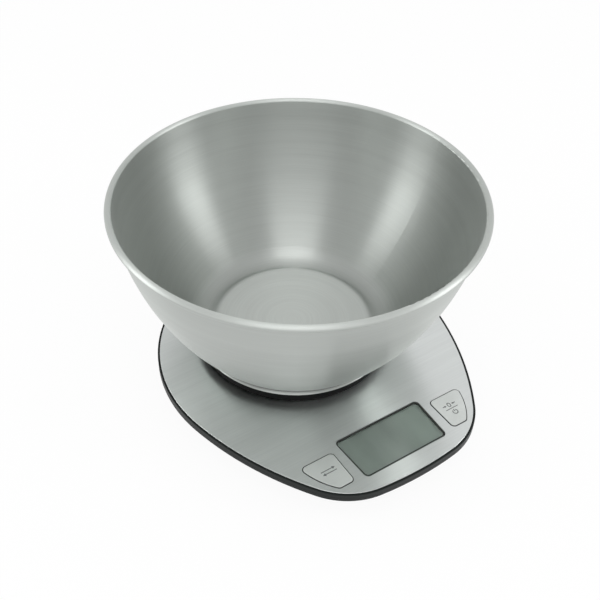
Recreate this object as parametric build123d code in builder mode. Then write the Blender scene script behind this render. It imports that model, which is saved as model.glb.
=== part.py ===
from build123d import *
from math import cos, radians, sin, sqrt
import os

os.makedirs("parts", exist_ok=True)

# A digital kitchen scale with a stainless mixing bowl. Millimetres, +Z up, the table at
# z = 0, the display side towards -Y. The bowl, the platter and the load cell share one
# vertical line, the load axis. Every sketch is drawn from that axis.

# ------------------------------------------------------------------ driving dimensions
# Bowl: one spun sheet, flat floor, bend, bulged wall, rim rolled outwards
rim_radius = 110.0
bowl_height = 102.0
bowl_sheet = 0.8
curl_radius = 1.6
curl_angle = 262.0
floor_radius = 51.5
heel_radius = 19.4
heel_angle = 50.6

# Foot ring spot-welded under the bowl
ring_radius = 63.6
ring_sheet = 0.8
ring_web = 16.0
ring_flare = 2.4
ring_edge = 0.4
weld_gap = 0.1

# Plan of the cover plate: four tangent arcs from the back to the front, then mirrored
back_radius = 92.9
side_radius = 199.7
corner_radius = 44.6
back_angle = 103.1
side_angle = 23.6
corner_angle = 46.6
load_to_back = 78.8

# Heights and walls of the base
deck_top = 21.0
cover_sheet = 0.6
cover_edge = 0.25
cover_gap = 0.15
lip_width = 1.2
lip_drop = 0.1
lip_edge = 0.4
deck_wall = 1.6
side_wall = 2.2
band_height = 5.1
parting_drop = 2.7
parting_gap = 0.15
standoff = 2.0
floor_wall = 2.0
belly_rise = 6.0
belly_inset = 11.8
shoulder_inset = 7.8
skirt_wall = 1.2
skirt_depth = 2.2
skirt_gap = 0.2

# Display
window_depth = 29.4
window_flare = 0.7
window_corner = 3.0
window_margin = 10.4
window_drop = 0.4
window_sheet = 1.2
window_gap = 0.15
window_ledge = 0.6
lcd_border = 1.2
lcd_thickness = 1.7
lcd_gap = 0.1
holder_wall = 1.4
strip_width = 2.2
strip_inset = 2.0

# Buttons
button_spacing = 5.8
button_margin = 9.4
button_top_width = 21.8
button_front_width = 10.0
button_depth = 21.8
button_back_line = 34.4
button_bulge = 1.8
button_corner = 2.6
button_gap = 0.35
button_proud = 0.3
button_wall = 1.5
button_flange = 0.7
button_flange_thickness = 1.1
button_post_radius = 2.5
button_edge = 0.4
button_travel = 0.6
switch_reach = 8.8
switch_side = 6.0
switch_height = 3.5
plunger_radius = 1.65
plunger_length = 1.9
plunger_rise = 0.8
plunger_gap = 0.1

# Circuit board
board_thickness = 1.6
board_top = 13.0
board_inset = 8.0
board_depth = 34.8
board_back_gap = 8.7
post_radius = 2.5
post_margin = 15.0
post_back_line = 39.2
blob_radius = 6.0
blob_height = 1.4
blob_rim = 0.2

# Load cell, its fastening and the platter above it
cell_length = 80.0
cell_width = 12.7
cell_height = 12.7
cell_bore = 4.6
cell_bore_spacing = 14.0
cell_slot = 3.0
cell_hole_first = 5.0
cell_hole_last = 6.0
cell_plate_thickness = 1.5
cell_plate_width = 30.0
cell_plate_margin = 2.0
cell_plate_corner = 3.0
cell_edge = 0.6
cell_screw_bite = 7.6
load_screw_radius = 2.0
load_screw_gap = 0.2
load_head_radius = 3.4
load_head_height = 1.2
load_hex_radius = 1.5
load_hex_depth = 0.8
stop_gap = 0.7
gauge_length = 8.0
gauge_width = 6.0
gauge_thickness = 0.25
gauge_corner = 0.8
spacer_gap = 3.0
spacer_corner = 1.0
carrier_sheet = 1.5
carrier_rise = 2.0
carrier_hub = 20.0
carrier_arm_width = 16.0
carrier_end = 5.0
carrier_corner = 6.0
platter_radius = 61.0
platter_height = 7.7
platter_wall = 2.0
platter_rise = 1.2
platter_edge = 1.2
rib_wall = 1.6
rib_count = 8
rib_ring_radius = 30.0
boss_radius = 4.0
boss_pitch_radius = 46.0
carrier_screw_head = 2.6
carrier_screw_bite = 1.9
grip_outer = 59.0
grip_width = 3.5
grip_height = 1.1
grip_proud = 0.3
opening_gap = 2.0
opening_corner = 4.0

# Batteries (AAA), bay and sliding door
cell_radius = 5.15
battery_length = 43.5
nub_radius = 1.9
nub_length = 1.0
battery_gap = 0.2
bay_centre = 38.2
bay_end = 4.2
contact_fold = 1.2
bay_wall = 1.4
bay_headroom = 0.5
contact_sheet = 0.4
contact_width = 7.0
door_half = 29.5
door_thickness = 1.6
door_tongue = 1.5
door_tongue_thickness = 0.7
door_front = 24.0
door_gap = 0.3
door_pad = 1.4
door_grip_width = 18.0
door_grip_depth = 0.5
door_groove = 1.2
door_groove_pitch = 2.6
door_groove_count = 4
door_grip_line = 46.0

# Feet and housing screws
foot_radius = 7.0
foot_sunk = 1.0
foot_edge = 0.6
foot_side_margin = 31.0
foot_front_line = 48.4
foot_back_line = 10.0
screw_radius = 1.25
screw_gap = 0.1
screw_clearance = 0.4
screw_head_radius = 2.8
screw_head_height = 2.0
screw_head_depth = 4.0
screw_bite = 6.0
screw_end_gap = 1.0
screw_boss_radius = 4.0
boss_split = 10.0
screw_side_margin = 26.0
screw_middle_line = -50.0
screw_back_line = 36.0
screw_front_gap = 5.0

# Wires
wire_radius = 0.45
wire_pitch = 1.3
wire_gap = 0.15
wire_bend = 5.0
wire_angle = 40.0
wire_lap = 1.5
cell_wire_count = 4
cell_wire_lead = 14.0
cell_wire_run = 9.0
battery_wire_lead = 1.2
battery_wire_line = 26.0

# ------------------------------------------------------------------ derived sizes
def direction(angle):
    """Unit vector at an angle turned clockwise from the back (+Y), seen from above."""
    return Vector(sin(radians(angle)), cos(radians(angle)))


back_centre = Vector(0, load_to_back - back_radius)
side_start = back_angle
corner_start = side_start + side_angle
front_start = corner_start + corner_angle
side_centre = back_centre + direction(side_start) * (back_radius - side_radius)
corner_centre = side_centre + direction(corner_start) * (side_radius - corner_radius)
corner_end = corner_centre + direction(front_start) * corner_radius
front_radius = corner_end.X / direction(front_start).X
front_edge = corner_end.Y - front_radius * direction(front_start).Y - front_radius


def half_width(line):
    """Half the cover plate's width on a line across it, line behind the load axis."""
    centre = corner_centre
    radius = corner_radius
    if line > side_centre.Y + side_radius * direction(corner_start).Y:
        centre = side_centre
        radius = side_radius
    if line > back_centre.Y + back_radius * direction(side_start).Y:
        centre = back_centre
        radius = back_radius
    return centre.X + sqrt(radius**2 - (line - centre.Y) ** 2)



lip_outset = cover_gap + lip_width
load_y = (lip_outset - front_edge - rim_radius) / 2
deck_under = deck_top - cover_sheet
deck_base = deck_under - deck_wall
lip_top = deck_top - lip_drop
band_base = lip_top - band_height
parting = lip_top - parting_drop
belly_top = standoff + belly_rise
skirt_inset = side_wall + skirt_gap - lip_outset
floor_top = standoff + floor_wall

window_y = front_edge + window_margin + window_depth / 2
window_top = deck_top - window_drop
ledge_top = window_top - window_sheet
button_back = front_edge + button_back_line
button_y = button_back - button_depth / 2
button_inner = half_width(button_back) - button_margin - button_top_width
switch_x = button_inner + switch_reach
window_width = 2 * (button_inner - button_spacing)
board_base = board_top - board_thickness
board_back = button_back + board_back_gap
lcd_top = deck_base - lcd_gap
lcd_width = window_width + 2 * lcd_border
lcd_depth = window_depth + 2 * lcd_border
post_y = front_edge + post_back_line
post_x = half_width(post_y) - post_margin
posts = [(-post_x, post_y), (post_x, post_y)]

cell_base = floor_top + cell_plate_thickness
plate_far = cell_length / 2 + cell_plate_margin
gauge_end = cell_bore_spacing / 2 + gauge_length / 2
plate_near = gauge_end + cell_plate_margin
spacer_length = cell_length / 2 - gauge_end - spacer_gap
cell_hole_pitch = spacer_length - cell_hole_first - cell_hole_last
cell_top = cell_base + cell_height
carrier_reach = boss_pitch_radius + carrier_end
carrier_base = deck_top + carrier_rise
carrier_top = carrier_base + carrier_sheet
platter_top = deck_top + platter_height
platter_base = deck_top + platter_rise
platter_under = platter_top - platter_wall
bowl_seat = platter_top + grip_proud
free_holes = [(cell_length / 2 - cell_hole_first - i * cell_hole_pitch, 0) for i in range(2)]
fixed_holes = [(-x, y) for x, y in free_holes]

battery_axis = standoff + door_thickness + door_gap + battery_gap + cell_radius
bay_half = (battery_length + nub_length) / 2 + bay_end
bay_depth = 4 * cell_radius + 3 * battery_gap
bay_top = battery_axis + cell_radius + bay_headroom
pad_half = door_half + door_tongue + door_gap + door_pad
row_step = cell_radius + battery_gap / 2
battery_rows = [bay_centre - row_step, bay_centre + row_step]

foot_lines = [front_edge + foot_front_line, foot_back_line]
foot_places = [
    (side * (half_width(line) - foot_side_margin), line) for line in foot_lines for side in (-1, 1)
]
screw_front = window_y + lcd_depth / 2 + holder_wall + screw_front_gap + screw_boss_radius
screw_places = [
    (side * (half_width(line) - screw_side_margin), line)
    for line in (screw_middle_line, screw_back_line)
    for side in (-1, 1)
] + [(0, screw_front)]
screw_middle_x = half_width(screw_middle_line) - screw_side_margin

# Wires: the battery's pair runs in the lane between the beam's end and the screw bosses
wire_z = board_base - wire_radius
wire_end = load_y + board_back - wire_lap
lane_x = (cell_length / 2 + screw_middle_x - screw_boss_radius - wire_pitch) / 2
battery_lead = bay_wall + battery_wire_lead
lane_shift = lane_x - bay_half - battery_lead - wire_bend
bend_shift = 2 * wire_bend * (1 - cos(radians(wire_angle)))
battery_wire_run = (lane_shift - bend_shift) / sin(radians(wire_angle))


# ------------------------------------------------------------------ shared shapes
def level(height):
    """Horizontal plane at a height, with its origin on the load axis."""
    return Plane((0, load_y, height))


def upright(offset=0):
    """Plane X-Z through the load axis, or parallel to it further forward."""
    return Plane((0, load_y - offset, 0), x_dir=(1, 0, 0), z_dir=(0, -1, 0))


def underside(height):
    """Horizontal plane at a height that faces down; its X runs the other way."""
    return Plane((0, load_y, height), x_dir=(-1, 0, 0), z_dir=(0, 0, -1))


def seen_from_below(places):
    """The same places, in the coordinates of an underside plane."""
    return [(-x, y) for x, y in places]


load_axis = Axis((0, load_y, 0), (0, 0, 1))


def base_plan(inset=0):
    """Plan of the base, drawn inside the cover plate's edge by inset."""
    with BuildSketch(Plane.XY) as plan:
        with BuildLine():
            back = JernArc((0, load_to_back - inset), (1, 0), back_radius - inset, -back_angle)
            side = JernArc(back @ 1, back % 1, side_radius - inset, -side_angle)
            corner = JernArc(side @ 1, side % 1, corner_radius - inset, -corner_angle)
            JernArc(corner @ 1, corner % 1, front_radius - inset, front_start - 180)
            mirror(about=Plane.YZ)
        make_face()
    return plan.sketch


def window_plan(inset=0):
    """Plan of the display window, a little wider at its back edge."""
    half = window_width / 2
    depth = window_depth / 2
    with BuildSketch(Plane.XY) as plan:
        with BuildLine():
            Polyline(
                (-half - window_flare, window_y + depth),
                (half + window_flare, window_y + depth),
                (half - window_flare, window_y - depth),
                (-half + window_flare, window_y - depth),
                close=True,
            )
        make_face()
        fillet(plan.vertices(), window_corner)
        if inset:
            offset(amount=-inset, mode=Mode.REPLACE)
    return plan.sketch


def button_plan(side, growth=0):
    """Plan of one button: straight towards the window, bulged along the base's corner."""
    with BuildSketch(Plane.XY) as plan:
        with BuildLine():
            line = Polyline(
                (side * (button_inner + button_top_width), button_back),
                (side * button_inner, button_back),
                (side * button_inner, button_back - button_depth),
                (side * (button_inner + button_front_width), button_back - button_depth),
            )
            SagittaArc(line @ 1, line @ 0, side * -button_bulge)
        make_face()
        fillet(plan.vertices(), button_corner)
        if growth:
            offset(amount=growth, mode=Mode.REPLACE)
    return plan.sketch


def belly(shrink, low):
    """Solid of the lower housing: a short upright band over a shoulder and a shallow belly."""
    stages = [
        (band_base, shrink - lip_outset),
        (belly_top, shrink - lip_outset + shoulder_inset),
        (low, shrink - lip_outset + shoulder_inset + belly_inset),
    ]
    with BuildPart() as shape:
        with BuildSketch(level(band_base)):
            add(base_plan(shrink - lip_outset))
        extrude(amount=parting - parting_gap - band_base)
        for (upper, upper_inset), (lower, lower_inset) in zip(stages, stages[1:]):
            with BuildSketch(level(lower)):
                add(base_plan(lower_inset))
            with BuildSketch(level(upper)):
                add(base_plan(upper_inset))
            loft(ruled=True)
    return shape.part


def door_section(clearance):
    """Cross-section of the battery door: a plate with a thin tongue along each side."""
    low = standoff
    high = standoff + door_thickness + clearance
    shelf = standoff + door_thickness - door_tongue_thickness - clearance
    half = door_half + clearance
    with BuildSketch(Plane.XY) as section:
        with BuildLine():
            Polyline(
                (0, low),
                (half, low),
                (half, shelf),
                (half + door_tongue, shelf),
                (half + door_tongue, high),
                (0, high),
            )
            mirror(about=Plane.YZ)
        make_face()
    return section.sketch


# ------------------------------------------------------------------ bowl
sheet_floor = bowl_seat + ring_sheet + bowl_sheet / 2
curl_z = bowl_seat + bowl_height - curl_radius - bowl_sheet / 2
curl_x = rim_radius - 2 * curl_radius - bowl_sheet / 2

with BuildPart() as bowl:
    with BuildSketch(upright()):
        with BuildLine():
            floor = Line((0, sheet_floor), (floor_radius, sheet_floor))
            heel = JernArc(floor @ 1, floor % 1, heel_radius, heel_angle)
            wall = TangentArc(heel @ 1, (curl_x, curl_z), tangent=heel % 1)
            JernArc(wall @ 1, wall % 1, curl_radius, -curl_angle)
        trace(line_width=bowl_sheet)
    revolve(axis=load_axis)
bowl.part.label = "bowl"
export_step(bowl.part, "parts/bowl.step")

# The foot ring's web lies flat under the bowl's floor, and its flared wall stops under the bend.
outer_bend = heel_radius + bowl_sheet / 2
bend_reach = ring_radius - ring_flare - ring_sheet - floor_radius
ring_height = ring_sheet + outer_bend - sqrt(outer_bend**2 - bend_reach**2) - weld_gap
ring_corner = ring_radius - ring_sheet * (1 + ring_flare / ring_height)

with BuildPart() as bowl_foot_ring:
    with BuildSketch(upright()) as ring_section:
        with BuildLine():
            Polyline(
                (ring_radius - ring_web, bowl_seat),
                (ring_radius, bowl_seat),
                (ring_radius - ring_flare, bowl_seat + ring_height),
                (ring_radius - ring_flare - ring_sheet, bowl_seat + ring_height),
                (ring_corner, bowl_seat + ring_sheet),
                (ring_radius - ring_web, bowl_seat + ring_sheet),
                close=True,
            )
        make_face()
        fillet(ring_section.vertices().group_by(Axis.Y)[0].sort_by(Axis.X)[-1], ring_edge)
    revolve(axis=load_axis)
bowl_foot_ring.part.label = "bowl_foot_ring"
export_step(bowl_foot_ring.part, "parts/bowl_foot_ring.step")

# ------------------------------------------------------------------ platter
with BuildPart() as platter:
    with BuildSketch(level(platter_base)):
        Circle(platter_radius)
    extrude(amount=platter_top - platter_base)
    fillet(platter.faces().sort_by(Axis.Z)[-1].edges(), platter_edge)
    with BuildSketch(level(platter_base)):
        Circle(platter_radius - platter_wall)
    extrude(amount=platter_under - platter_base, mode=Mode.SUBTRACT)
    with BuildSketch(level(carrier_top)):
        with PolarLocations(0, rib_count, start_angle=180 / rib_count):
            with Locations((platter_radius / 2, 0)):
                Rectangle(platter_radius - platter_wall, rib_wall)
        Circle(rib_ring_radius + rib_wall / 2)
        Circle(rib_ring_radius - rib_wall / 2, mode=Mode.SUBTRACT)
        with PolarLocations(boss_pitch_radius, 4):
            Circle(boss_radius)
    extrude(amount=platter_under - carrier_top)
    with BuildSketch(level(carrier_top)):
        with PolarLocations(boss_pitch_radius, 4):
            Circle(screw_radius)
    extrude(amount=platter_under - carrier_top, mode=Mode.SUBTRACT)
    with BuildSketch(level(platter_top)):
        Circle(grip_outer)
        Circle(grip_outer - grip_width, mode=Mode.SUBTRACT)
    extrude(amount=grip_proud - grip_height, mode=Mode.SUBTRACT)
platter.part.label = "platter"
export_step(platter.part, "parts/platter.step")

with BuildPart() as grip_ring:
    with BuildSketch(level(bowl_seat - grip_height)):
        Circle(grip_outer)
        Circle(grip_outer - grip_width, mode=Mode.SUBTRACT)
    extrude(amount=grip_height)
grip_ring.part.label = "grip_ring"
export_step(grip_ring.part, "parts/grip_ring.step")

with BuildPart() as platter_carrier:
    with BuildSketch(level(carrier_base)) as spider:
        Circle(carrier_hub)
        with PolarLocations(0, 4):
            with Locations((carrier_reach / 2, 0)):
                Rectangle(carrier_reach, carrier_arm_width)
        inner_corners = spider.vertices().filter_by(
            lambda corner: abs(Vector(corner.X, corner.Y).length - carrier_hub) < 1
        )
        fillet(inner_corners, carrier_corner)
        with Locations(*free_holes):
            Circle(load_screw_radius, mode=Mode.SUBTRACT)
    extrude(amount=carrier_sheet)
    with Locations(underside(carrier_base)):
        with PolarLocations(boss_pitch_radius, 4):
            CounterSinkHole(screw_radius + screw_gap, carrier_screw_head)
platter_carrier.part.label = "platter_carrier"
export_step(platter_carrier.part, "parts/platter_carrier.step")

with BuildPart() as carrier_screws:
    with Locations(level(carrier_base)):
        with PolarLocations(boss_pitch_radius, 4):
            Cone(
                carrier_screw_head - screw_gap,
                screw_radius,
                carrier_screw_head - screw_radius,
                align=(Align.CENTER, Align.CENTER, Align.MIN),
            )
            Cylinder(
                screw_radius,
                carrier_sheet + carrier_screw_bite,
                align=(Align.CENTER, Align.CENTER, Align.MIN),
            )
carrier_screws.part.label = "carrier_screws"
export_step(carrier_screws.part, "parts/carrier_screws.step")

# ------------------------------------------------------------------ load cell
with BuildPart() as load_spacer:
    with BuildSketch(level(cell_top)) as spacer_section:
        with Locations((cell_length / 2 - spacer_length / 2, 0)):
            Rectangle(spacer_length, cell_width)
        fillet(spacer_section.vertices(), spacer_corner)
        with Locations(*free_holes):
            Circle(load_screw_radius + load_screw_gap, mode=Mode.SUBTRACT)
    extrude(amount=carrier_base - cell_top)
load_spacer.part.label = "load_spacer"
export_step(load_spacer.part, "parts/load_spacer.step")

with BuildPart() as load_cell_beam:
    with BuildSketch(level(cell_base)):
        Rectangle(cell_length, cell_width)
    extrude(amount=cell_height)
    fillet(load_cell_beam.edges().filter_by(Axis.Z), cell_edge)
    with BuildSketch(upright(-cell_width / 2)):
        with Locations((0, cell_base + cell_height / 2)):
            Rectangle(cell_bore_spacing, cell_slot)
            with GridLocations(cell_bore_spacing, 0, 2, 1):
                Circle(cell_bore)
    extrude(amount=cell_width, mode=Mode.SUBTRACT)
    with Locations(level(cell_top)):
        with Locations(*free_holes, *fixed_holes):
            Hole(load_screw_radius + load_screw_gap)
    with Locations(underside(cell_base)):
        with Locations(*seen_from_below(free_holes)):
            CounterBoreHole(
                load_screw_radius + load_screw_gap,
                load_head_radius + load_screw_gap,
                load_head_height + load_screw_gap,
            )
load_cell_beam.part.label = "load_cell_beam"
export_step(load_cell_beam.part, "parts/load_cell_beam.step")

with BuildPart() as strain_gauges:
    for gauge_z in (cell_base - gauge_thickness, cell_top):
        with BuildSketch(level(gauge_z)) as gauge_sketch:
            with GridLocations(cell_bore_spacing, 0, 2, 1):
                Rectangle(gauge_length, gauge_width)
            fillet(gauge_sketch.vertices(), gauge_corner)
        extrude(amount=gauge_thickness)
strain_gauges.part.label = "strain_gauges"
export_step(strain_gauges.part, "parts/strain_gauges.step")

with BuildPart() as cell_plate:
    with BuildSketch(level(floor_top)) as plate_sketch:
        with Locations((-(plate_far + plate_near) / 2, 0)):
            Rectangle(plate_far - plate_near, cell_plate_width)
        fillet(plate_sketch.vertices(), cell_plate_corner)
        with Locations(*fixed_holes):
            Circle(load_screw_radius + load_screw_gap, mode=Mode.SUBTRACT)
    extrude(amount=cell_plate_thickness)
cell_plate.part.label = "cell_plate"
export_step(cell_plate.part, "parts/cell_plate.step")

load_screw_sets = {
    "cell_screws": (fixed_holes, standoff, cell_base + cell_screw_bite),
    "load_screws": (free_holes, cell_base + load_screw_gap, carrier_base),
}
for screw_name, (places, head_z, tip_z) in load_screw_sets.items():
    with BuildPart() as load_screws:
        with BuildSketch(level(head_z)):
            with Locations(*places):
                Circle(load_head_radius)
        extrude(amount=load_head_height)
        with BuildSketch(level(head_z)):
            with Locations(*places):
                Circle(load_screw_radius)
        extrude(amount=tip_z - head_z)
        with BuildSketch(level(head_z)):
            with Locations(*places):
                RegularPolygon(load_hex_radius, 6)
        extrude(amount=load_hex_depth, mode=Mode.SUBTRACT)
    load_screws.part.label = screw_name
    export_step(load_screws.part, f"parts/{screw_name}.step")

# ------------------------------------------------------------------ cover and upper housing
with BuildPart() as cover_plate:
    with BuildSketch(level(deck_under)):
        add(base_plan())
    extrude(amount=cover_sheet)
    fillet(cover_plate.faces().sort_by(Axis.Z)[-1].edges(), cover_edge)
    with BuildSketch(level(deck_under)):
        add(window_plan())
        for side in (-1, 1):
            add(button_plan(side, button_gap))
        with Locations((cell_length / 2 - spacer_length / 2, 0)):
            RectangleRounded(
                spacer_length + 2 * opening_gap, cell_width + 2 * opening_gap, opening_corner
            )
    extrude(amount=cover_sheet, mode=Mode.SUBTRACT)
cover_plate.part.label = "cover_plate"
export_step(cover_plate.part, "parts/cover_plate.step")

with BuildPart() as upper_housing:
    with BuildSketch(level(parting)):
        add(base_plan(-lip_outset))
    extrude(amount=lip_top - parting)
    fillet(upper_housing.faces().sort_by(Axis.Z)[-1].edges(), lip_edge)
    with BuildSketch(level(parting)):
        add(base_plan(side_wall - lip_outset))
    extrude(amount=deck_base - parting, mode=Mode.SUBTRACT)
    with BuildSketch(level(deck_under)):
        add(base_plan(-cover_gap))
    extrude(amount=lip_top - deck_under, mode=Mode.SUBTRACT)
    with BuildSketch(level(parting - skirt_depth)):
        add(base_plan(skirt_inset))
    extrude(amount=deck_base - parting + skirt_depth)
    with BuildSketch(level(parting - skirt_depth)):
        add(base_plan(skirt_inset + skirt_wall))
    extrude(amount=deck_base - parting + skirt_depth, mode=Mode.SUBTRACT)
    with BuildSketch(level(boss_split)):
        with Locations(*screw_places):
            Circle(screw_boss_radius)
    extrude(amount=deck_base - boss_split)
    with BuildSketch(level(board_top)):
        with Locations(*posts):
            Circle(post_radius)
    extrude(amount=deck_base - board_top)
    with BuildSketch(level(boss_split)):
        with Locations(*screw_places):
            Circle(screw_radius + screw_gap)
    extrude(amount=screw_bite + screw_end_gap, mode=Mode.SUBTRACT)
    with BuildSketch(level(board_top)):
        with Locations(*posts):
            Circle(screw_radius + screw_gap)
    extrude(amount=deck_base - board_top, mode=Mode.SUBTRACT)
    with BuildSketch(level(ledge_top)):
        add(window_plan())
    extrude(amount=deck_under - ledge_top, mode=Mode.SUBTRACT)
    with BuildSketch(level(deck_base)):
        add(window_plan(window_ledge))
        for side in (-1, 1):
            add(button_plan(side, button_gap))
        with Locations((cell_length / 2 - spacer_length / 2, 0)):
            RectangleRounded(
                spacer_length + 2 * opening_gap, cell_width + 2 * opening_gap, opening_corner
            )
    extrude(amount=deck_under - deck_base, mode=Mode.SUBTRACT)
upper_housing.part.label = "upper_housing"
export_step(upper_housing.part, "parts/upper_housing.step")

# ------------------------------------------------------------------ lower housing
with BuildPart() as cavity:
    add(belly(side_wall, floor_top))
    with BuildSketch(level(floor_top)):
        with Locations((0, bay_centre)):
            Rectangle(2 * (bay_half + bay_wall), bay_depth + 2 * bay_wall)
    extrude(amount=bay_top + bay_wall - floor_top, mode=Mode.SUBTRACT)
    with BuildSketch(level(floor_top)):
        with Locations((0, load_to_back / 2 + door_front / 2)):
            Rectangle(2 * pad_half, load_to_back - door_front + 2 * door_pad)
    extrude(amount=door_pad, mode=Mode.SUBTRACT)
    with BuildSketch(level(floor_top)):
        with Locations(*screw_places):
            Circle(screw_boss_radius)
    extrude(amount=boss_split - floor_top, mode=Mode.SUBTRACT)
    with BuildSketch(level(floor_top)):
        with Locations(*free_holes):
            Circle(load_head_radius)
    extrude(amount=cell_plate_thickness - stop_gap, mode=Mode.SUBTRACT)

with BuildPart() as belly_solid:
    add(belly(0, standoff))

with BuildPart() as lower_housing:
    add(belly_solid.part)
    add(cavity.part, mode=Mode.SUBTRACT)
    with BuildSketch(level(standoff)):
        with Locations((0, bay_centre)):
            Rectangle(2 * bay_half, bay_depth)
    extrude(amount=bay_top - standoff, mode=Mode.SUBTRACT)
    with BuildSketch(Plane((bay_half, load_y, wire_z), x_dir=(0, 1, 0), z_dir=(1, 0, 0))):
        with Locations(*[(row_y, 0) for row_y in battery_rows]):
            Circle(wire_radius + wire_gap)
    extrude(amount=bay_wall, mode=Mode.SUBTRACT)
    with BuildSketch(upright(-door_front + door_gap)):
        add(door_section(door_gap))
    extrude(amount=door_front - load_to_back, mode=Mode.SUBTRACT)
    with Locations(underside(standoff)):
        with Locations(*seen_from_below(screw_places)):
            CounterBoreHole(
                screw_radius + screw_clearance,
                screw_head_radius + screw_gap,
                screw_head_depth,
                boss_split - standoff,
            )
        with Locations(*seen_from_below(fixed_holes)):
            CounterBoreHole(
                load_screw_radius + load_screw_gap,
                load_head_radius + load_screw_gap,
                load_head_height,
                floor_wall,
            )
        with Locations(*seen_from_below(foot_places)):
            Hole(foot_radius + screw_gap, foot_sunk)
lower_housing.part.label = "lower_housing"
export_step(lower_housing.part, "parts/lower_housing.step")

with BuildPart() as battery_door:
    with BuildSketch(upright(-door_front)):
        add(door_section(0))
    extrude(amount=door_front - load_to_back)
    add(belly_solid.part, mode=Mode.INTERSECT)
    with BuildSketch(level(standoff)):
        with Locations((0, door_grip_line)):
            with GridLocations(0, door_groove_pitch, 1, door_groove_count):
                SlotOverall(door_grip_width, door_groove)
    extrude(amount=door_grip_depth, mode=Mode.SUBTRACT)
battery_door.part.label = "battery_door"
export_step(battery_door.part, "parts/battery_door.step")

with BuildPart() as housing_screws:
    with BuildSketch(level(standoff + screw_head_depth - screw_head_height)):
        with Locations(*screw_places):
            Circle(screw_head_radius)
    extrude(amount=screw_head_height)
    with BuildSketch(level(standoff + screw_head_depth)):
        with Locations(*screw_places):
            Circle(screw_radius)
    extrude(amount=boss_split + screw_bite - standoff - screw_head_depth)
housing_screws.part.label = "housing_screws"
export_step(housing_screws.part, "parts/housing_screws.step")

with BuildPart() as rubber_feet:
    with BuildSketch(level(0)):
        with Locations(*foot_places):
            Circle(foot_radius)
    extrude(amount=standoff + foot_sunk)
    fillet(rubber_feet.faces().group_by(Axis.Z)[0].edges(), foot_edge)
rubber_feet.part.label = "rubber_feet"
export_step(rubber_feet.part, "parts/rubber_feet.step")

# ------------------------------------------------------------------ display
with BuildPart() as display_window:
    with BuildSketch(level(ledge_top)):
        add(window_plan(window_gap))
    extrude(amount=window_sheet)
display_window.part.label = "display_window"
export_step(display_window.part, "parts/display_window.step")

with BuildPart() as lcd_panel:
    with BuildSketch(level(lcd_top - lcd_thickness)):
        with Locations((0, window_y)):
            Rectangle(lcd_width, lcd_depth)
    extrude(amount=lcd_thickness)
lcd_panel.part.label = "lcd_panel"
export_step(lcd_panel.part, "parts/lcd_panel.step")

with BuildPart() as lcd_holder:
    with BuildSketch(level(board_top)):
        with Locations((0, window_y)):
            Rectangle(lcd_width + 2 * holder_wall, lcd_depth + 2 * holder_wall)
            Rectangle(lcd_width, lcd_depth, mode=Mode.SUBTRACT)
    extrude(amount=deck_base - board_top)
lcd_holder.part.label = "lcd_holder"
export_step(lcd_holder.part, "parts/lcd_holder.step")

with BuildPart() as elastomer_strips:
    with BuildSketch(level(board_top)):
        with Locations((0, window_y)):
            with GridLocations(0, lcd_depth - 2 * strip_inset, 1, 2):
                Rectangle(window_width, strip_width)
    extrude(amount=lcd_top - lcd_thickness - board_top)
elastomer_strips.part.label = "elastomer_strips"
export_step(elastomer_strips.part, "parts/elastomer_strips.step")

# ------------------------------------------------------------------ circuit board
with BuildPart() as circuit_board:
    with BuildSketch(level(board_base)):
        add(base_plan(board_inset))
        with Locations((0, board_back - board_depth / 2)):
            Rectangle(2 * half_width(board_back), board_depth, mode=Mode.INTERSECT)
        with Locations(*posts):
            Circle(screw_radius + screw_gap, mode=Mode.SUBTRACT)
    extrude(amount=board_thickness)
circuit_board.part.label = "circuit_board"
export_step(circuit_board.part, "parts/circuit_board.step")

with BuildPart() as board_screws:
    with BuildSketch(level(board_base - screw_head_height)):
        with Locations(*posts):
            Circle(screw_head_radius)
    extrude(amount=screw_head_height)
    with BuildSketch(level(board_base)):
        with Locations(*posts):
            Circle(screw_radius)
    extrude(amount=screw_bite)
board_screws.part.label = "board_screws"
export_step(board_screws.part, "parts/board_screws.step")

with BuildPart() as controller_blob:
    with BuildSketch(level(board_base)):
        with Locations((0, window_y)):
            Circle(blob_radius)
    extrude(amount=-blob_height)
    fillet(controller_blob.faces().sort_by(Axis.Z)[0].edges(), blob_height - blob_rim)
controller_blob.part.label = "controller_blob"
export_step(controller_blob.part, "parts/controller_blob.step")

# ------------------------------------------------------------------ wires
# Every wire lies flat at one height and ends under the back edge of the circuit board.
with BuildPart() as load_cell_wires:
    for index in range(cell_wire_count):
        start_x = -gauge_end - wire_lap - index * wire_pitch
        with BuildLine() as cell_route:
            lead = PolarLine((start_x, load_y - cell_width / 2, wire_z), cell_wire_lead, -90)
            bend = JernArc(lead @ 1, lead % 1, wire_bend, -wire_angle)
            run = Line(bend @ 1, bend @ 1 + bend % 1 * cell_wire_run)
            bend_back = JernArc(run @ 1, run % 1, wire_bend, wire_angle)
            Line(bend_back @ 1, ((bend_back @ 1).X, wire_end, wire_z))
        with BuildSketch(Plane(cell_route.line @ 0, z_dir=cell_route.line % 0)):
            Circle(wire_radius)
        sweep(path=cell_route.line)
load_cell_wires.part.label = "load_cell_wires"
export_step(load_cell_wires.part, "parts/load_cell_wires.step")

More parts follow.
